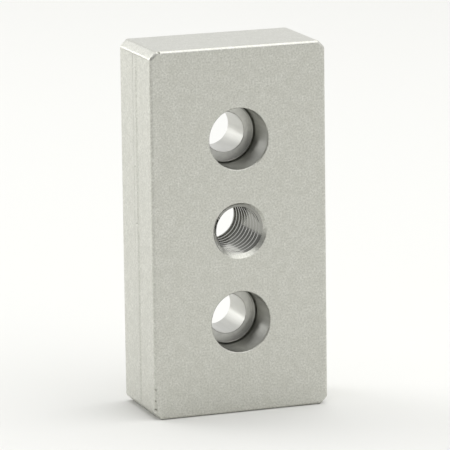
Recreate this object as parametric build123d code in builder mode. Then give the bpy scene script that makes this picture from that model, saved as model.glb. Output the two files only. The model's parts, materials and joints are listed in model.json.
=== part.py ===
"""Mounting block: the die-cast end plate of a slotted 80 x 40 profile.

One solid aluminium plate. Two counterbored holes take the cap screws that hold it to the profile's
end, and the threaded hole between them takes a levelling foot or a castor.

Frame, in millimetres: X across the width, Z up along the height, Y through the thickness. The face
that bears on the profile lies at Y = 0 and looks toward +Y, and the counterbored face looks toward -Y.
The origin is on the thread's axis in the bearing face.
"""

from build123d import *

from math import isclose
import os

# The plate
plate_width = 40.0
plate_height = 80.0
plate_thickness = 20.0
corner_chamfer = 1.5  # 45 degrees, on the four edges that run through the thickness
corner_softening = 0.8  # radius where the chamfers meet the sides and the ends
rim_radius = 0.7  # rounding all round the two large faces

# The parting land: the flat strip that the casting die leaves along both long sides
parting_land_width = 2.0
parting_land_height = 0.15

# Two counterbored holes for M8 cap screws, whose heads are 13 mm across and 8 mm high
screw_spacing = 40.0
screw_bore_radius = 4.4
screw_bore_lead_in = 1.0  # 45 degrees at the bearing face, clear of the burr of the tapped core
head_seat_radius = 6.65
head_seat_depth = 9.0
head_seat_corner_radius = 0.5  # cored corner between the wall and the floor
head_seat_rim_radius = 0.3

# The M12 x 1.75 through thread, bored to its minor diameter
thread_major_radius = 6.0
thread_minor_radius = 5.053
thread_mouth_radius = thread_major_radius + 0.1
thread_exit_radius = thread_major_radius + 0.4

bearing_face_y = 0.0
counterbored_face_y = bearing_face_y - plate_thickness
head_seat_floor_y = counterbored_face_y + head_seat_depth

match_tolerance = 0.01  # for picking edges by their size and place


def hole_rims(radius, y):
    """The block's circular edges of one radius at one place along the thickness."""
    circles = mounting_block.edges().filter_by(GeomType.CIRCLE)
    at_depth = circles.filter_by_position(Axis.Y, y - match_tolerance, y + match_tolerance)
    return at_depth.filter_by(lambda edge: isclose(edge.radius, radius, abs_tol=match_tolerance))


with BuildPart() as mounting_block:
    # Plate: the front outline with its cut corners, extruded through the thickness
    body_width = plate_width - 2 * parting_land_height
    with BuildSketch(Plane.XZ) as outline:
        Rectangle(body_width, plate_height)
        chamfer(outline.vertices(), length=corner_chamfer)
        fillet(outline.vertices(), radius=corner_softening)
    extrude(amount=plate_thickness)
    large_faces = mounting_block.faces().sort_by(Axis.Y)
    fillet(large_faces[0].edges() + large_faces[-1].edges(), radius=rim_radius)

    # Parting lands: one band through the middle of the thickness, proud of both long sides
    land_length = plate_height - 2 * (corner_chamfer + corner_softening / 2)
    with BuildSketch(Plane.XZ.offset(plate_thickness / 2)):
        Rectangle(plate_width, land_length)
    extrude(amount=parting_land_width / 2, both=True)

    # Screw holes: stepped from the counterbored face, with every cast edge eased
    with Locations(Plane.XZ.offset(plate_thickness)):
        with GridLocations(0, screw_spacing, 1, 2):
            CounterBoreHole(screw_bore_radius, head_seat_radius, head_seat_depth)
    fillet(hole_rims(head_seat_radius, counterbored_face_y), radius=head_seat_rim_radius)
    fillet(hole_rims(head_seat_radius, head_seat_floor_y), radius=head_seat_corner_radius)
    chamfer(hole_rims(screw_bore_radius, bearing_face_y), length=screw_bore_lead_in)

    # Threaded hole: the minor bore with its 45 degree mouth and exit
    with Locations(Plane.XZ.offset(plate_thickness)):
        Hole(thread_minor_radius)
    mouth_chamfer = thread_mouth_radius - thread_minor_radius
    exit_chamfer = thread_exit_radius - thread_minor_radius
    chamfer(hole_rims(thread_minor_radius, counterbored_face_y), length=mouth_chamfer)
    chamfer(hole_rims(thread_minor_radius, bearing_face_y), length=exit_chamfer)

mounting_block.part.label = "mounting_block"

os.makedirs("parts", exist_ok=True)
export_step(mounting_block.part, "parts/mounting_block.step")
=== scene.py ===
"""Looks of a die-cast aluminium end plate for a slotted profile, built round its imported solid.

The plate is modelled again at the solid's own size, with what the die, the tap and the blast leave on it:
a true M12 thread, eased rims, a parting land between two witness lines, and a few blow holes.
"""

from __future__ import annotations

from abc import ABC, abstractmethod
from collections.abc import Callable, Iterator
from contextlib import contextmanager
from dataclasses import dataclass
from enum import Enum
import json
import logging
import math

import bmesh
import bpy
from mathutils import Matrix, Vector

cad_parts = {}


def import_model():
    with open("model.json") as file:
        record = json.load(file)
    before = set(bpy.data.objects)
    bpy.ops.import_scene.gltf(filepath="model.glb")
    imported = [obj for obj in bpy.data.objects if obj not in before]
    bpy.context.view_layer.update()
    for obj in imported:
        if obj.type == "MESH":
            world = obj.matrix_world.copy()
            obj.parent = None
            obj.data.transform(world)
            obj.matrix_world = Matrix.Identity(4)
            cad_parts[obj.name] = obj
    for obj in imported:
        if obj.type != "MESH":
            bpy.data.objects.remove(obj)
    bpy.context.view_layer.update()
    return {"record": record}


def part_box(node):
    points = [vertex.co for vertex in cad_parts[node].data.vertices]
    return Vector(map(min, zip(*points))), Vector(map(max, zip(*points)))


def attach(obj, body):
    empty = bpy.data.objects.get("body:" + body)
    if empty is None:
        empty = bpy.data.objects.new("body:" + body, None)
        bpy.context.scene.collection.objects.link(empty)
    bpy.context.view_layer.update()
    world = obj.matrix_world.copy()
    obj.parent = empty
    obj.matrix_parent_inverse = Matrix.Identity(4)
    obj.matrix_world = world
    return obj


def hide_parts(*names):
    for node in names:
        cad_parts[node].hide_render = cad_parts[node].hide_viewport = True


LOG = logging.getLogger("mounting_block")
MM = 0.001
NODE = "mounting_block"
MERGE_DISTANCE = 0.001 * MM  # points nearer than this are one point
ALONG_AXIS = 0.99  # least Y of a unit normal that points along a hole
Station = tuple[float, float]  # Y along a hole, and the radius there


class Side(Enum):
    """The two long sides of the plate, by the sign of X."""

    LEFT = -1.0
    RIGHT = 1.0


class Form(Enum):
    """What a rounding on a turned cutter leaves in the hole it cuts."""

    EASED_MOUTH = "rounded edge where a wall meets a face"
    CORED_CORNER = "hollow corner where a wall meets a floor"


# ---------------------------------------------------------------------------------------------
# Working by hand: selection, turned cutters and cuts
# ---------------------------------------------------------------------------------------------


def activate(piece: bpy.types.Object) -> None:
    """Leaves one object selected and active.

    Args:
        piece: The object that the next operators act on.
    """
    bpy.ops.object.select_all(action="DESELECT")
    piece.select_set(True)
    bpy.context.view_layer.objects.active = piece


@contextmanager
def editing(piece: bpy.types.Object, element: str = "FACE") -> Iterator[None]:
    """Opens an object in edit mode with nothing selected, and closes it again.

    Args:
        piece: The object to edit.
        element: Selection mode: VERT, EDGE or FACE.
    """
    activate(piece)
    bpy.ops.object.mode_set(mode="EDIT")
    bpy.ops.mesh.select_mode(type=element)
    bpy.ops.mesh.select_all(action="DESELECT")
    yield
    bpy.ops.object.mode_set(mode="OBJECT")


def pick(piece: bpy.types.Object, elements: str, wanted: Callable[..., bool]) -> None:
    """Selects what a test accepts, in edit mode, and nothing else.

    Args:
        piece: The object in edit mode.
        elements: "verts", "edges" or "faces".
        wanted: The test, given one element.
    """
    bpy.ops.mesh.select_all(action="DESELECT")
    form = bmesh.from_edit_mesh(piece.data)
    for element in getattr(form, elements):
        if wanted(element):
            element.select_set(True)
    form.select_flush_mode()
    bmesh.update_edit_mesh(piece.data)


def settle(name: str) -> bpy.types.Object:
    """Names the object that an operator has just made and moves its place, turn and size into its mesh.

    Args:
        name: Its name.

    Returns:
        The object, at the origin.
    """
    piece = bpy.context.object
    piece.name = name
    piece.data.name = name
    activate(piece)
    bpy.ops.object.transform_apply(location=True, rotation=True, scale=True)
    return piece


def face_outwards(piece: bpy.types.Object) -> None:
    """Merges doubled points and turns every face of a closed piece outwards.

    Args:
        piece: The piece, in object mode.
    """
    with editing(piece):
        bpy.ops.mesh.select_all(action="SELECT")
        bpy.ops.mesh.remove_doubles(threshold=MERGE_DISTANCE)
        bpy.ops.mesh.normals_make_consistent(inside=False)


def bevel(offset: float, segments: int) -> None:
    """Bevels the selected edges, in edit mode.

    Args:
        offset: The bevel's width on each face beside the edge.
        segments: How many faces it has. One makes a flat cut, and more make a round.
    """
    bpy.ops.mesh.bevel(
        offset=offset,
        offset_type="OFFSET",
        segments=segments,
        affect="EDGES",
        clamp_overlap=False,
    )


def turned(name: str, axis: Vector, stations: list[Station], facets: int) -> bpy.types.Object:
    """A turned cutter: a disc extruded along Y and widened or narrowed at each station.

    Args:
        name: The object's name.
        axis: A point on the cutter's axis.
        stations: Pairs of Y and radius, toward +Y. The first two have the same radius.
        facets: How many sides the circle has.

    Returns:
        The closed cutter.
    """
    (start, radius), (y, _) = stations[:2]
    bpy.ops.mesh.primitive_cylinder_add(
        vertices=facets,
        radius=radius,
        depth=y - start,
        location=(axis.x, (start + y) / 2, axis.z),
        rotation=(math.pi / 2, 0, 0),
    )
    cutter = settle(name)
    with editing(cutter):
        pick(cutter, "faces", lambda face: face.normal.y > ALONG_AXIS)
        for next_y, next_radius in stations[2:]:
            bpy.ops.mesh.extrude_region_move(TRANSFORM_OT_translate={"value": (0, next_y - y, 0)})
            change = next_radius / radius
            bpy.ops.transform.resize(value=(change, 1, change), center_override=(axis.x, next_y, axis.z))
            y, radius = next_y, next_radius
    face_outwards(cutter)
    return cutter


def rounding(y: float, radius: float, width: float, form: Form, steps: int = 5) -> list[Station]:
    """Stations of a quarter round over which a turned cutter narrows.

    Args:
        y: Where the round starts.
        radius: The cutter's radius there.
        width: The radius of the round itself.
        form: Whether the hole gets an eased mouth or a cored corner.
        steps: How many straight pieces make the quarter.

    Returns:
        The stations after the start. The last is one width deeper and one width narrower.
    """
    stations = []
    for step in range(1, steps + 1):
        turn = math.pi / 2 * step / steps
        sine, versine = math.sin(turn) * width, (1 - math.cos(turn)) * width
        deeper, narrower = (versine, sine) if form is Form.EASED_MOUTH else (sine, versine)
        stations.append((y + deeper, radius - narrower))
    return stations


def cut(piece: bpy.types.Object, cutter: bpy.types.Object) -> None:
    """Cuts a closed cutter out of a piece and removes the cutter.

    Args:
        piece: The piece that is cut.
        cutter: The cutter, whose material the new faces take.
    """
    activate(piece)
    modifier = piece.modifiers.new(cutter.name, "BOOLEAN")
    modifier.object = cutter
    modifier.operation = "DIFFERENCE"
    modifier.solver = "EXACT"
    modifier.material_mode = "TRANSFER"
    bpy.ops.object.modifier_apply(modifier=modifier.name)
    bpy.data.objects.remove(cutter, do_unlink=True)


# ---------------------------------------------------------------------------------------------
# Finishes
# ---------------------------------------------------------------------------------------------


def linear(hex_colour: str) -> tuple[float, float, float, float]:
    """Turns an sRGB hex colour into the linear colour that a shader takes.

    Args:
        hex_colour: Six hex digits.

    Returns:
        Linear red, green and blue, and an alpha of 1.
    """
    channels = (int(hex_colour[start:start + 2], 16) / 255 for start in (0, 2, 4))
    red, green, blue = (c / 12.92 if c <= 0.04045 else ((c + 0.055) / 1.055) ** 2.4 for c in channels)
    return red, green, blue, 1.0


def add_node(
    tree: bpy.types.NodeTree, kind: str, inputs: dict[str | int, object], **settings: object
) -> bpy.types.Node:
    """Adds a node with its settings, values and links.

    Args:
        tree: The node tree.
        kind: The node's type, without the leading "ShaderNode".
        inputs: A value, or the output socket that feeds it, for each input by name or number.
        **settings: The node's own settings.

    Returns:
        The node.
    """
    node = tree.nodes.new("ShaderNode" + kind)
    for name, value in settings.items():
        setattr(node, name, value)
    for key, value in inputs.items():
        if isinstance(value, bpy.types.NodeSocket):
            tree.links.new(value, node.inputs[key])
        else:
            node.inputs[key].default_value = value
    return node


@dataclass(frozen=True)
class BareMetal(ABC):
    """A bare metal finish, laid out in Object coordinates.

    Args:
        name: The material's name.
    """

    name: str

    def material(self) -> bpy.types.Material:
        """Builds the material.

        Returns:
            A metallic material with the finish's own colour, roughness and relief.
        """
        material = bpy.data.materials.new(self.name)
        material.use_nodes = True
        tree = material.node_tree
        shader = tree.nodes["Principled BSDF"]
        shader.inputs["Metallic"].default_value = 1.0
        self.dress(tree, shader, add_node(tree, "TexCoord", {}).outputs["Object"])
        return material

    @abstractmethod
    def dress(
        self, tree: bpy.types.NodeTree, shader: bpy.types.Node, where: bpy.types.NodeSocket
    ) -> None:
        """Gives the metal its colour, roughness and relief.

        Args:
            tree: The material's nodes.
            shader: Its shader.
            where: The socket with the place on the object.
        """


@dataclass(frozen=True)
class BlastedCasting(BareMetal):
    """Die-cast aluminium alloy, trimmed and blasted with fine grit.

    The blast leaves an even, matt silver grey. Close to, it shows the dents of the grit, clouds a few
    millimetres across where the cast skin took the blast differently, and a slow waviness from the die.
    """

    name: str = "blasted_die_cast_aluminium"
    colour: str = "DEDED7"
    cloud_colour: str = "D4D4CC"
    dent_colour: str = "B9B9B1"
    roughness: float = 0.38
    roughness_spread: float = 0.08
    grit: float = 0.4 * MM  # the real grit is 0.1 to 0.2 mm, drawn as coarse as it needs to show
    grit_depth: float = 0.03 * MM
    grit_detail: float = 2.0
    grit_sharpness: float = 0.65
    dent_span: tuple[float, float] = (0.3, 0.7)  # of the grit's noise, from dented to untouched
    cloud: float = 2.2 * MM  # across a cloud
    cloud_detail: float = 5.0
    cloud_span: tuple[float, float] = (0.35, 0.65)  # of the clouds' noise, from clear to clouded
    wave: float = 14.0 * MM  # from crest to crest
    wave_depth: float = 0.015 * MM
    wave_detail: float = 1.0

    def dress(
        self, tree: bpy.types.NodeTree, shader: bpy.types.Node, where: bpy.types.NodeSocket
    ) -> None:
        """Adds the clouds, the dents of the grit and the die's waviness.

        Args:
            tree: The material's nodes.
            shader: Its shader.
            where: The socket with the place on the object.
        """
        dented, untouched = self.dent_span
        clear, clouded = self.cloud_span
        clouds = add_node(
            tree,
            "TexNoise",
            {"Vector": where, "Scale": 1 / self.cloud, "Detail": self.cloud_detail},
        )
        dents = add_node(
            tree,
            "TexNoise",
            {
                "Vector": where,
                "Scale": 1 / self.grit,
                "Detail": self.grit_detail,
                "Roughness": self.grit_sharpness,
            },
        )
        waves = add_node(
            tree,
            "TexNoise",
            {"Vector": where, "Scale": 1 / self.wave, "Detail": self.wave_detail},
        )
        patches = add_node(
            tree,
            "MapRange",
            {"Value": clouds.outputs["Fac"], "From Min": clear, "From Max": clouded},
        )
        tint = add_node(
            tree,
            "Mix",
            {0: patches.outputs["Result"], 6: linear(self.colour), 7: linear(self.cloud_colour)},
            data_type="RGBA",
        )
        deep = add_node(
            tree,
            "MapRange",
            {"Value": dents.outputs["Fac"], "From Min": untouched, "From Max": dented},
        )
        grained = add_node(
            tree,
            "Mix",
            {0: deep.outputs["Result"], 6: tint.outputs[2], 7: linear(self.dent_colour)},
            data_type="RGBA",
        )
        speckle = add_node(
            tree,
            "MapRange",
            {
                "Value": dents.outputs["Fac"],
                "From Min": dented,
                "From Max": untouched,
                "To Min": self.roughness - self.roughness_spread,
                "To Max": self.roughness + self.roughness_spread,
            },
        )
        slow = add_node(
            tree, "Bump", {"Height": waves.outputs["Fac"], "Distance": self.wave_depth, "Strength": 1.0}
        )
        fine = add_node(
            tree,
            "Bump",
            {
                "Height": dents.outputs["Fac"],
                "Distance": self.grit_depth,
                "Strength": 1.0,
                "Normal": slow.outputs["Normal"],
            },
        )
        tree.links.new(grained.outputs[2], shader.inputs["Base Color"])
        tree.links.new(speckle.outputs["Result"], shader.inputs["Roughness"])
        tree.links.new(fine.outputs["Normal"], shader.inputs["Normal"])


@dataclass(frozen=True)
class CoredWall(BareMetal):
    """Die-cast aluminium as it leaves a polished core pin.

    The pin slides out along the hole, so the wall is smoother than the outside, with soft drag marks
    that run along the axis. The blast reaches in only a little.

    Args:
        colour: The wall's colour, darkened as painted shade in the seat and lightened as painted light in
            the bore.
        shade_colour: Its colour in the drag marks.
    """

    colour: str
    shade_colour: str
    roughness: float = 0.28
    drag: float = 1.1 * MM  # across the drag marks
    drag_length: float = 12.0 * MM
    drag_depth: float = 0.02 * MM
    drag_detail: float = 3.0

    def dress(
        self, tree: bpy.types.NodeTree, shader: bpy.types.Node, where: bpy.types.NodeSocket
    ) -> None:
        """Adds the drag marks.

        Args:
            tree: The material's nodes.
            shader: Its shader.
            where: The socket with the place on the object.
        """
        shader.inputs["Roughness"].default_value = self.roughness
        stretch = (1.0, self.drag / self.drag_length, 1.0)
        along = add_node(tree, "Mapping", {"Vector": where, "Scale": stretch})
        marks = add_node(
            tree,
            "TexNoise",
            {
                "Vector": along.outputs["Vector"],
                "Scale": 1 / self.drag,
                "Detail": self.drag_detail,
            },
        )
        tint = add_node(
            tree,
            "Mix",
            {0: marks.outputs["Fac"], 6: linear(self.colour), 7: linear(self.shade_colour)},
            data_type="RGBA",
        )
        bump = add_node(
            tree, "Bump", {"Height": marks.outputs["Fac"], "Distance": self.drag_depth, "Strength": 1.0}
        )
        tree.links.new(tint.outputs[2], shader.inputs["Base Color"])
        tree.links.new(bump.outputs["Normal"], shader.inputs["Normal"])


@dataclass(frozen=True)
class TappedThread(BareMetal):
    """Aluminium cut by a tap.

    The cut metal is smoother and glossier than the skin, with fine tool marks all over. Its colour is
    painted darker than the skin's: painted shade of the deep hole.
    """

    name: str = "tapped_aluminium"
    # painted shade: darker than cut aluminium is, for the shade inside the threaded hole
    colour: str = "9A9A95"
    roughness: float = 0.14
    tool_mark: float = 0.25 * MM
    tool_mark_depth: float = 0.008 * MM
    tool_mark_detail: float = 2.0

    def dress(
        self, tree: bpy.types.NodeTree, shader: bpy.types.Node, where: bpy.types.NodeSocket
    ) -> None:
        """Adds the tool marks.

        Args:
            tree: The material's nodes.
            shader: Its shader.
            where: The socket with the place on the object.
        """
        shader.inputs["Base Color"].default_value = linear(self.colour)
        shader.inputs["Roughness"].default_value = self.roughness
        marks = add_node(
            tree,
            "TexNoise",
            {"Vector": where, "Scale": 1 / self.tool_mark, "Detail": self.tool_mark_detail},
        )
        bump = add_node(
            tree,
            "Bump",
            {
                "Height": marks.outputs["Fac"],
                "Distance": self.tool_mark_depth,
                "Strength": 1.0,
            },
        )
        tree.links.new(bump.outputs["Normal"], shader.inputs["Normal"])


# ---------------------------------------------------------------------------------------------
# The plate
# ---------------------------------------------------------------------------------------------


@dataclass
class Casting:
    """The body of the plate: stock with cut corners, eased edges and the parting land.

    Args:
        low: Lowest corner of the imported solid.
        high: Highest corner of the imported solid.
    """

    low: Vector
    high: Vector
    name: str = "mounting_block_casting"
    finish: BlastedCasting = BlastedCasting()
    corner_cut: float = 1.5 * MM
    corner_ease: float = 0.8 * MM
    corner_segments: int = 4
    rim_ease: float = 0.7 * MM
    rim_segments: int = 6
    land_width: float = 2.0 * MM
    land_height: float = 0.15 * MM
    land_taper: float = 0.75  # the width of the land's top, as a part of its foot's
    witness_width: float = 0.4 * MM  # the shallow line on each side of the land
    witness_depth: float = 0.06 * MM  # in front of the land
    rear_witness_depth: float = 0.22 * MM  # behind it, where the trimming tool bites last
    witness_steps: int = 14
    witness_fade: float = 0.2  # the part of its depth that a line keeps at the bottom end
    touch: float = 0.01 * MM  # how near a point lies to a plane that it is on

    def build(self) -> bpy.types.Object:
        """Models the casting.

        Returns:
            The piece, before its holes.
        """
        plate = self.stock()
        self.cut_corners(plate)
        self.ease_rims(plate)
        for side in Side:
            self.add_witness_lines(plate, side)
            self.raise_land(plate, side)
        plate.data.materials.append(self.finish.material())
        return plate

    def middle(self) -> float:
        """Y of the middle of the thickness, where the two halves of the die met."""
        return (self.low.y + self.high.y) / 2

    def side_x(self, side: Side) -> float:
        """Where the long side lies, under its land."""
        return side.value * (self.high.x - self.land_height)

    def stock(self) -> bpy.types.Object:
        """Adds the plain block that the casting is shaped from.

        Returns:
            The block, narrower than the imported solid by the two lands.
        """
        size = self.high - self.low
        size.x -= 2 * self.land_height
        bpy.ops.mesh.primitive_cube_add(size=1, location=(self.low + self.high) / 2, scale=size)
        return settle(self.name)

    def cut_corners(self, plate: bpy.types.Object) -> None:
        """Cuts the four long corners at 45 degrees and softens the cuts.

        Args:
            plate: The casting.
        """
        corner_softness = self.corner_ease * math.tan(math.pi / 8)
        for offset, segments in ((self.corner_cut, 1), (corner_softness, self.corner_segments)):
            with editing(plate, "EDGE"):
                pick(plate, "edges", self.runs_through)
                bevel(offset, segments)

    def runs_through(self, edge: bmesh.types.BMEdge) -> bool:
        """True for an edge that runs the whole thickness."""
        start, end = (vertex.co for vertex in edge.verts)
        return abs(abs(end.y - start.y) - (self.high.y - self.low.y)) < self.touch

    def ease_rims(self, plate: bpy.types.Object) -> None:
        """Rounds the outlines of the two large faces.

        Args:
            plate: The casting.
        """
        for y in (self.low.y, self.high.y):
            with editing(plate, "EDGE"):
                pick(plate, "edges", lambda edge: all(abs(v.co.y - y) < self.touch for v in edge.verts))
                bevel(self.rim_ease, self.rim_segments)

    def on_side(self, side: Side, reach: float) -> Callable[[bmesh.types.BMFace], bool]:
        """Makes a test for the faces of a long side near the middle of the thickness.

        Args:
            side: Which long side.
            reach: How far from the middle a face may reach.

        Returns:
            The test.
        """
        middle = self.middle()
        x = self.side_x(side)

        def test(face: bmesh.types.BMFace) -> bool:
            """True for a face flat on the side, within reach of the middle."""
            return all(abs(v.co.x - x) < self.touch and abs(v.co.y - middle) < reach for v in face.verts)

        return test

    def add_witness_lines(self, plate: bpy.types.Object, side: Side) -> None:
        """Scores the two lines that edge the land.

        Args:
            plate: The casting.
            side: Which long side.
        """
        x, middle = self.side_x(side), self.middle()
        inner = self.land_width / 2
        outer = inner + self.witness_width
        bottom = (inner + outer) / 2
        everywhere = self.high.y - self.low.y
        with editing(plate):
            for offset in (inner, bottom, outer):
                for y in (middle - offset, middle + offset):
                    pick(plate, "faces", self.on_side(side, everywhere))
                    bpy.ops.mesh.bisect(plane_co=(x, y, 0), plane_no=(0, 1, 0))
            for step in range(1, self.witness_steps):
                pick(plate, "faces", self.on_side(side, outer + self.touch))
                bpy.ops.mesh.bisect(plane_co=(x, middle, self.level(step)), plane_no=(0, 0, 1))
        self.sink_line(plate, side, middle - bottom, self.witness_depth)
        self.sink_line(plate, side, middle + bottom, self.rear_witness_depth)

    def level(self, step: int) -> float:
        """Height of one of the even steps by which the witness lines get deeper."""
        return self.low.z + (self.high.z - self.low.z) * step / self.witness_steps

    def sink_line(self, plate: bpy.types.Object, side: Side, y: float, depth: float) -> None:
        """Sinks the bottom of one witness line into the side, deepest at the top end.

        Args:
            plate: The casting.
            side: Which long side.
            y: Where the line runs.
            depth: Its depth at the top end.
        """
        x = self.side_x(side)
        half_step = (self.high.z - self.low.z) / self.witness_steps / 2
        with editing(plate, "VERT"):
            for step in range(self.witness_steps + 1):
                z = self.level(step)
                fading = self.witness_fade + (1 - self.witness_fade) * (step / self.witness_steps)
                pick(
                    plate,
                    "verts",
                    lambda v: abs(v.co.x - x) < self.touch
                    and abs(v.co.y - y) < self.touch
                    and abs(v.co.z - z) < half_step,
                )
                bpy.ops.transform.translate(value=(-side.value * (depth * fading), 0, 0))

    def raise_land(self, plate: bpy.types.Object, side: Side) -> None:
        """Raises the parting land out of a long side.

        Args:
            plate: The casting.
            side: Which long side.
        """
        reach = self.land_width / 2 + self.touch
        with editing(plate):
            pick(plate, "faces", self.on_side(side, reach))
            bpy.ops.mesh.extrude_region_move(
                TRANSFORM_OT_translate={"value": (side.value * self.land_height, 0, 0)}
            )
            centre = (0, self.middle(), 0)
            bpy.ops.transform.resize(value=(1, self.land_taper, 1), center_override=centre)


@dataclass
class ScrewHole:
    """A stepped hole for a cap screw, cored from both halves of the die.

    Args:
        name: What the hole is called.
        axis: A point on its axis.
        bore_radius: Radius of the screw's bore.
        seat_radius: Radius of the seat that takes the screw's head.
        front: Y of the counterbored face.
        back: Y of the bearing face.
    """

    name: str
    axis: Vector
    bore_radius: float
    seat_radius: float
    front: float
    back: float
    seat_depth: float = 9.0 * MM
    rim_ease: float = 0.3 * MM
    floor_corner: float = 0.5 * MM
    bore_ease: float = 0.15 * MM
    bore_ease_steps: int = 3
    lead_in: float = 1.0 * MM  # the chamfer in the bearing face
    overrun: float = 0.6 * MM  # how far the cutter stands out of a face
    facets: int = 128

    def stations(self) -> list[Station]:
        """Works out the cutter's outline.

        Returns:
            Pairs of Y and radius, from in front of the plate to behind it.
        """
        floor = self.front + self.seat_depth
        wall_end = floor - self.floor_corner
        mouth = self.seat_radius + self.rim_ease
        edge = self.bore_radius + self.bore_ease
        return [
            (self.front - self.overrun, mouth),
            (self.front, mouth),
            *rounding(self.front, mouth, self.rim_ease, Form.EASED_MOUTH),
            (wall_end, self.seat_radius),
            *rounding(wall_end, self.seat_radius, self.floor_corner, Form.CORED_CORNER),
            (floor, edge),
            *rounding(floor, edge, self.bore_ease, Form.EASED_MOUTH, self.bore_ease_steps),
            (self.back - self.lead_in, self.bore_radius),
            (self.back + self.overrun, self.bore_radius + self.lead_in + self.overrun),
        ]

    def make(
        self, plate: bpy.types.Object, seat_wall_painted_shade: bpy.types.Material, bore_wall_painted_light: bpy.types.Material
    ) -> None:
        """Cuts the hole. The blast reaches its eased mouth, which keeps the skin's finish.

        Args:
            plate: The casting.
            seat_wall_painted_shade: The material of the seat's wall.
            bore_wall_painted_light: The material of the seat's floor and of the screw's bore.
        """
        cutter = turned(self.name, self.axis, self.stations(), self.facets)
        for surface in (plate.data.materials[0], seat_wall_painted_shade, bore_wall_painted_light):
            cutter.data.materials.append(surface)
        wall_start = self.front + self.rim_ease
        floor_start = self.front + self.seat_depth - MERGE_DISTANCE
        with editing(cutter):
            for slot, start in ((1, wall_start), (2, floor_start)):
                pick(cutter, "faces", lambda face: face.calc_center_median().y > start)
                cutter.active_material_index = slot
                bpy.ops.object.material_slot_assign()
        cut(plate, cutter)


@dataclass
class FootThread:
    """The M12 x 1.75 thread through the middle, tapped right through.

    Args:
        minor_radius: Radius over the thread's crests.
        front: Y of the counterbored face.
        back: Y of the bearing face.
    """

    minor_radius: float
    front: float
    back: float
    name: str = "foot_thread"
    pitch: float = 1.75 * MM
    flank_angle: float = 30.0  # half the thread's angle, in degrees
    major_radius: float = 6.0 * MM
    mouth_radius: float = 6.1 * MM
    exit_radius: float = 6.4 * MM
    overrun: float = 0.6 * MM  # how far a cutter stands out of a face
    seam: float = 0.002 * MM  # how near two turns of the tap lie where they meet
    steps_per_turn: int = 72

    def make(self, plate: bpy.types.Object, finish: bpy.types.Material) -> None:
        """Cuts the thread, then its mouth and its exit, which keep the skin's finish.

        Args:
            plate: The casting.
            finish: The material of the thread.
        """
        skin = plate.data.materials[0]
        for cutter, surface in (
            (self.tap(), finish),
            (self.countersink("thread_mouth", self.front, self.mouth_radius, 1.0), skin),
            (self.countersink("thread_exit", self.back, self.exit_radius, -1.0), skin),
        ):
            cutter.data.materials.append(surface)
            cut(plate, cutter)

    def tooth(self) -> list[Station]:
        """Works out one pitch of the thread's 60 degree form.

        Returns:
            Steps along Y and radii, from one crest to the next.
        """
        flank = (self.major_radius - self.minor_radius) * math.tan(math.radians(self.flank_angle))
        root = self.pitch / 8  # the flat that the form leaves at its root
        crest = self.pitch - 2 * flank - root
        return [
            (0.0, self.minor_radius),
            (crest, self.minor_radius),
            (flank, self.major_radius),
            (root, self.major_radius),
            (flank, self.minor_radius),
        ]

    def tap(self) -> bpy.types.Object:
        """Models the tap: one tooth, screwed along the hole and trimmed at both ends.

        Returns:
            The closed cutter.
        """
        reach = 2 * self.pitch
        start = self.front - reach
        turns = math.ceil((self.back + reach - start) / self.pitch)
        bpy.ops.mesh.primitive_plane_add(size=self.pitch, location=(self.minor_radius, start, 0))
        tap = settle(self.name)
        with editing(tap, "VERT"):
            bpy.ops.mesh.select_all(action="SELECT")
            bpy.ops.mesh.merge(type="CENTER")
            radius = self.minor_radius
            for along, next_radius in self.tooth()[1:]:
                step = (next_radius - radius, along, 0)
                bpy.ops.mesh.extrude_vertices_move(TRANSFORM_OT_translate={"value": step})
                radius = next_radius
        screw = tap.modifiers.new("thread", "SCREW")
        screw.axis = "Y"
        screw.angle = 2 * math.pi
        screw.screw_offset = self.pitch
        screw.iterations = turns
        screw.steps = screw.render_steps = self.steps_per_turn
        activate(tap)
        bpy.ops.object.modifier_apply(modifier=screw.name)
        with editing(tap):
            bpy.ops.mesh.select_all(action="SELECT")
            bpy.ops.mesh.remove_doubles(threshold=self.seam)
            for y, outward in ((self.front - self.overrun, -1), (self.back + self.overrun, 1)):
                bpy.ops.mesh.select_all(action="SELECT")
                bpy.ops.mesh.bisect(
                    plane_co=(0, y, 0), plane_no=(0, outward, 0), use_fill=True, clear_outer=True
                )
        face_outwards(tap)
        return tap

    def countersink(self, name: str, face: float, radius: float, inwards: float) -> bpy.types.Object:
        """Models the 45 degree cutter for one end of the thread.

        Args:
            name: The cutter's name.
            face: Y of the face it opens in.
            radius: Its radius in that face.
            inwards: 1 where the hole runs toward +Y from the face, -1 where it runs toward -Y.

        Returns:
            The closed cutter.
        """
        deep = radius - self.minor_radius + self.overrun
        outside = (face - 2 * self.overrun * inwards, radius + self.overrun)
        widest = (face - self.overrun * inwards, radius + self.overrun)
        point = (face + deep * inwards, radius - deep)
        stations = [outside, widest, point]
        if inwards < 0:  # a turned cutter starts with a straight stretch
            neck = (point[0] - self.overrun, point[1])
            stations = [neck, point, widest, outside]
        return turned(name, Vector((0, 0, 0)), stations, self.steps_per_turn * 2)


@dataclass
class BlowHole:
    """A small pit that trapped gas leaves in the skin of the casting.

    Args:
        place: Its middle, on the surface.
        reach: How far it reaches along X, Y and Z.
    """

    place: Vector
    reach: Vector
    subdivisions: int = 2
    unevenness: float = 0.25  # as a part of the least reach
    uniformity: float = 0.5  # 0 moves each point by its own amount, 1 moves all by the same

    def make(self, plate: bpy.types.Object, number: int) -> None:
        """Cuts the pit with an uneven grain.

        Args:
            plate: The casting.
            number: Which pit it is, so that no two have the same outline.
        """
        bpy.ops.mesh.primitive_ico_sphere_add(
            subdivisions=self.subdivisions, radius=1, location=self.place, scale=self.reach
        )
        grain = settle(f"blow_hole_{number}")
        with editing(grain, "VERT"):
            bpy.ops.mesh.select_all(action="SELECT")
            bpy.ops.transform.vertex_random(
                offset=min(self.reach) * self.unevenness, uniform=self.uniformity, seed=number
            )
        grain.data.materials.append(plate.data.materials[0])
        cut(plate, grain)


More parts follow.
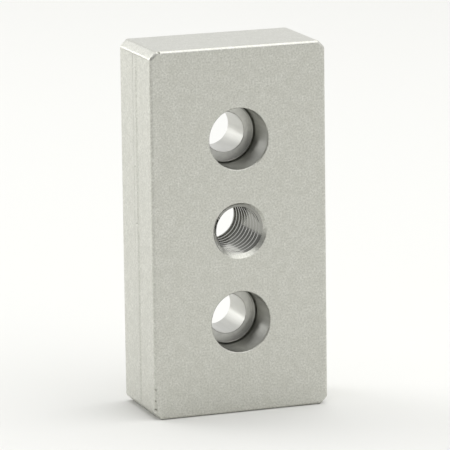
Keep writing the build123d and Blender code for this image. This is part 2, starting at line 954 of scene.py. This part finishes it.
@dataclass
class MountingBlock:
    """The whole plate: the casting, its holes, its thread and its blow holes.

    Args:
        low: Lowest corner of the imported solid.
        high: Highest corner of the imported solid.
        mounts: The record's mounts by name.
    """

    low: Vector
    high: Vector
    mounts: dict[str, dict]
    # The seat's wall is the cored finish painted darker: painted shade of the deep counterbore.
    seat_finish_painted_shade: CoredWall = CoredWall("cored_aluminium_seat", "9E9E98", "84847E")
    # The seat's floor and the bore take the cored finish painted lighter: painted light that falls in
    # through the hole from behind.
    bore_finish_painted_light: CoredWall = CoredWall("cored_aluminium_bore", "CCCCC6", "B0B0AA")
    thread_finish: TappedThread = TappedThread()
    smooth_angle: float = 32.0  # an edge that turns by more than this many degrees stays sharp
    flat_face_weight: int = 100

    def build(self) -> bpy.types.Object:
        """Builds and dresses the plate.

        Returns:
            The one finished piece.
        """
        plate = Casting(self.low, self.high).build()
        self.cut_screw_holes(plate)
        self.cut_thread(plate)
        self.pit(plate)
        self.smooth(plate)
        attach(plate, "root")
        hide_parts(NODE)
        return plate

    def cut_screw_holes(self, plate: bpy.types.Object) -> None:
        """Cuts the two stepped holes where the record has their head seats.

        Args:
            plate: The casting.
        """
        seat_wall_painted_shade = self.seat_finish_painted_shade.material()
        bore_wall_painted_light = self.bore_finish_painted_light.material()
        bore = self.mounts["profile_screws"]["dims"]["hole_r_mm"] * MM
        for name in ("upper_head_seat", "lower_head_seat"):
            seat = self.mounts[name]
            hole = ScrewHole(
                name,
                Vector(seat["pos_m"]),
                bore,
                seat["dims"]["r_mm"] * MM,
                self.low.y,
                self.high.y,
            )
            hole.make(plate, seat_wall_painted_shade, bore_wall_painted_light)
            LOG.info("cut %s", name)

    def cut_thread(self, plate: bpy.types.Object) -> None:
        """Cuts the thread at the record's minor radius.

        Args:
            plate: The casting.
        """
        minor = self.mounts["foot_thread"]["dims"]["r_mm"] * MM
        thread = FootThread(minor, self.low.y, self.high.y)
        thread.make(plate, self.thread_finish.material())
        LOG.info("cut %s", thread.name)

    def pit(self, plate: bpy.types.Object) -> None:
        """Leaves the blow holes of the left side and of the front's top and left edges.

        Args:
            plate: The casting.
        """
        middle = (self.low.y + self.high.y) / 2
        side, front, top = self.low.x, self.low.y, self.high.z
        in_side = Vector((0.12, 0.3, 0.3)) * MM
        in_edge = Vector((0.3, 0.3, 0.3)) * MM
        under_edge = 0.2 * MM  # from a face to the middle of its rounded edge
        edge_x, edge_y = side + Casting.land_height + under_edge, front + under_edge
        pits = [
            BlowHole(Vector((side, middle, 13.8 * MM)), in_side),
            BlowHole(Vector((side, middle + 0.4 * MM, 9.6 * MM)), in_side * 0.8),
            BlowHole(Vector((side, middle - 0.3 * MM, 1.3 * MM)), in_side * 1.2),
            BlowHole(Vector((-17.7 * MM, edge_y, top - under_edge)), in_edge),
            BlowHole(Vector((edge_x, edge_y, -33.1 * MM)), in_edge),
            BlowHole(Vector((edge_x, edge_y, -35.7 * MM)), in_edge * 0.8),
            BlowHole(Vector((edge_x, edge_y, -37.6 * MM)), in_edge * 1.1),
        ]
        for number, pit in enumerate(pits, start=1):
            pit.make(plate, number)
        LOG.info("cut %d blow holes", len(pits))

    def smooth(self, plate: bpy.types.Object) -> None:
        """Shades rounded faces smoothly and keeps flat ones flat.

        Args:
            plate: The casting.
        """
        activate(plate)
        bpy.ops.object.shade_smooth_by_angle(angle=math.radians(self.smooth_angle))
        weighting = plate.modifiers.new("flat_faces_first", "WEIGHTED_NORMAL")
        weighting.keep_sharp = True
        weighting.weight = self.flat_face_weight
        bpy.ops.object.modifier_apply(modifier=weighting.name)


# ---------------------------------------------------------------------------------------------
# The studio
# ---------------------------------------------------------------------------------------------


@dataclass(frozen=True)
class SoftBox:
    """A square soft box that points at the plate. The camera doesn't see it.

    Args:
        name: Its name.
        place: Where it hangs.
        size: The length of its sides.
        power: Its power in watts.
    """

    name: str
    place: tuple[float, float, float]
    size: float
    power: float

    def hang(self) -> None:
        """Hangs the soft box."""
        bpy.ops.object.light_add(type="AREA", location=self.place)
        lamp = bpy.context.object
        lamp.name = self.name
        lamp.data.shape = "SQUARE"
        lamp.data.size = self.size
        lamp.data.energy = self.power
        lamp.visible_camera = False
        lamp.rotation_euler = (-Vector(self.place)).to_track_quat("-Z", "Y").to_euler()


@dataclass
class Studio:
    """A plain pale floor, soft light and a long lens.

    Args:
        low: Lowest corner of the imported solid.
        high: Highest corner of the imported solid.
    """

    low: Vector
    high: Vector
    floor_colour: str = "E4E4E1"
    floor_size: float = 8.0
    floor_roughness: float = 0.9
    floor_gloss: float = 0.1
    world_colour: str = "FFFFFF"
    bright_level: float = 0.98
    dark_level: float = 0.3
    seen_level: float = 0.9  # how bright the camera sees the room itself
    dark_way: Vector = Vector((-0.86, -0.51, 0))  # toward the dim side of the room
    dark_from: float = -0.2  # the cosine to that way where the room starts to darken
    dark_to: float = 0.85  # and where it is darkest
    overhead: SoftBox = SoftBox("overhead", (0.2, -0.15, 0.9), size=1.4, power=6.5)
    behind_left: SoftBox = SoftBox("behind_left", (-0.9, 0.9, 0.45), size=0.9, power=7.0)
    azimuth: float = -19.88
    elevation: float = 11.79
    roll: float = -0.743
    distance: float = 0.9
    lens: float = 337.1  # on a 36 mm sensor
    clip_start: float = 0.01
    aim_offset: Vector = Vector((-3.43, 0, 1.57)) * MM  # from the middle of the counterbored face

    def build(self) -> None:
        """Sets up the floor, the light and the camera."""
        self.lay_floor()
        self.light_world()
        for lamp in (self.overhead, self.behind_left):
            lamp.hang()
        self.set_camera()
        bpy.context.scene.view_settings.view_transform = "Standard"

    def lay_floor(self) -> None:
        """Lays the floor that the plate stands on."""
        bpy.ops.mesh.primitive_plane_add(size=self.floor_size, location=(0, 0, self.low.z))
        floor = settle("floor")
        material = bpy.data.materials.new("matt_white_floor")
        material.use_nodes = True
        shader = material.node_tree.nodes["Principled BSDF"]
        shader.inputs["Base Color"].default_value = linear(self.floor_colour)
        shader.inputs["Roughness"].default_value = self.floor_roughness
        shader.inputs["Specular IOR Level"].default_value = self.floor_gloss
        floor.data.materials.append(material)

    def light_world(self) -> None:
        """Lights the room softly, with one side of it left dim so that the edges show."""
        world = bpy.data.worlds.new("white_room")
        bpy.context.scene.world = world
        world.use_nodes = True
        tree = world.node_tree
        background = tree.nodes["Background"]
        where = add_node(tree, "TexCoord", {}).outputs["Generated"]
        nearness = add_node(tree, "VectorMath", {0: where, 1: self.dark_way}, operation="DOT_PRODUCT")
        level = add_node(
            tree,
            "MapRange",
            {
                "Value": nearness.outputs["Value"],
                "From Min": self.dark_from,
                "From Max": self.dark_to,
                "To Min": self.bright_level,
                "To Max": self.dark_level,
            },
        )
        rays = add_node(tree, "LightPath", {})
        seen = add_node(
            tree,
            "Mix",
            {0: rays.outputs["Is Camera Ray"], 2: level.outputs["Result"], 3: self.seen_level},
            data_type="FLOAT",
        )
        background.inputs["Color"].default_value = linear(self.world_colour)
        tree.links.new(seen.outputs[0], background.inputs["Strength"])

    def set_camera(self) -> None:
        """Stands the camera in front of the plate, a little to its left and above it."""
        around, above, roll = (math.radians(a) for a in (self.azimuth, self.elevation, self.roll))
        back = Vector(
            (math.sin(around) * math.cos(above), -math.cos(around) * math.cos(above), math.sin(above))
        )
        right = (-back).cross(Vector((0, 0, 1))).normalized()
        up = right.cross(-back)
        right_rolled = right * math.cos(roll) + up * math.sin(roll)
        up_rolled = up * math.cos(roll) - right * math.sin(roll)
        middle = (self.low + self.high) / 2
        aim = Vector((middle.x, self.low.y, middle.z)) + self.aim_offset
        bpy.ops.object.camera_add()
        camera = bpy.context.object
        camera.name = "camera"
        camera.data.lens = self.lens
        camera.data.clip_start = self.clip_start
        turn = Matrix((right_rolled, up_rolled, back)).transposed().to_4x4()
        camera.matrix_world = Matrix.Translation(aim + back * self.distance) @ turn
        bpy.context.scene.camera = camera


def main() -> None:
    """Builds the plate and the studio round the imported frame."""
    logging.basicConfig(level=logging.INFO, format="%(message)s")
    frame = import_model()
    low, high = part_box(NODE)
    mounts = {mount["name"]: mount for mount in frame["record"]["mounts"]}
    plate = MountingBlock(low, high, mounts).build()
    LOG.info("%s: %d faces", plate.name, len(plate.data.polygons))
    Studio(low, high).build()


if __name__ == "__main__":
    main()
